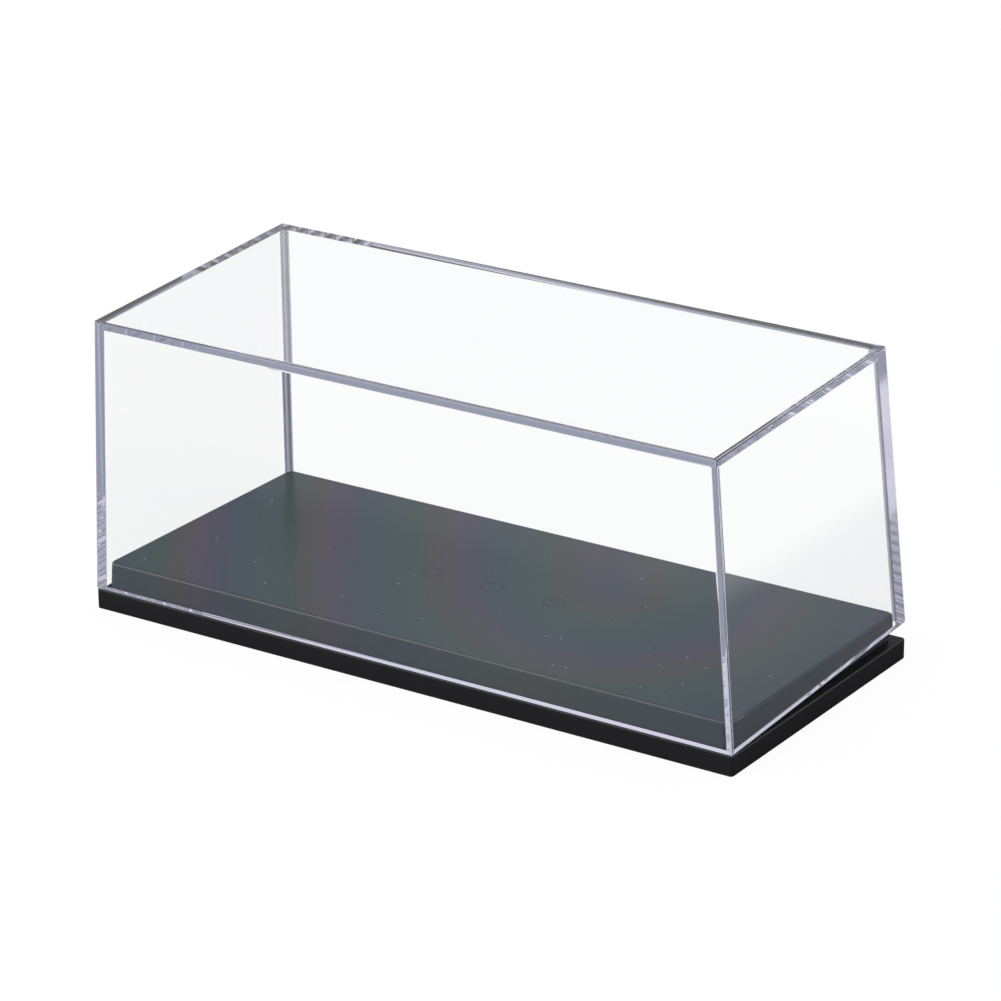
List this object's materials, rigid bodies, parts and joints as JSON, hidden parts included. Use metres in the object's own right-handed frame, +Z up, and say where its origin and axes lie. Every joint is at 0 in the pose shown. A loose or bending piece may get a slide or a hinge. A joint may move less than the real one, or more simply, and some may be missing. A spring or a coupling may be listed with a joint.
{
  "type": "display case",
  "caption": "Small table-top display case: a clear tapered moulded cover standing slightly ajar on a black base with a raised plinth",
  "frame": {"origin": "On the table, under the middle of the base", "axes": "+X to the right along the length, +Y to the rear, +Z up"},
  "size_m": [0.17, 0.0763, 0.0745],
  "materials": {
    "black_plastic": "gloss",
    "clear_plastic": "gloss"
  },
  "bodies": {
    "base": {"base": "black_plastic"},
    "cover": {"cover": "clear_plastic"}
  },
  "joints": [
    {"name": "cover_tilt", "type": "hinge", "parent": "base", "child": "cover", "pos_m": [0, -0.0375, 0.0047], "axis": [1, 0, 0], "range_deg": [-2.9, 92]}
  ]
}
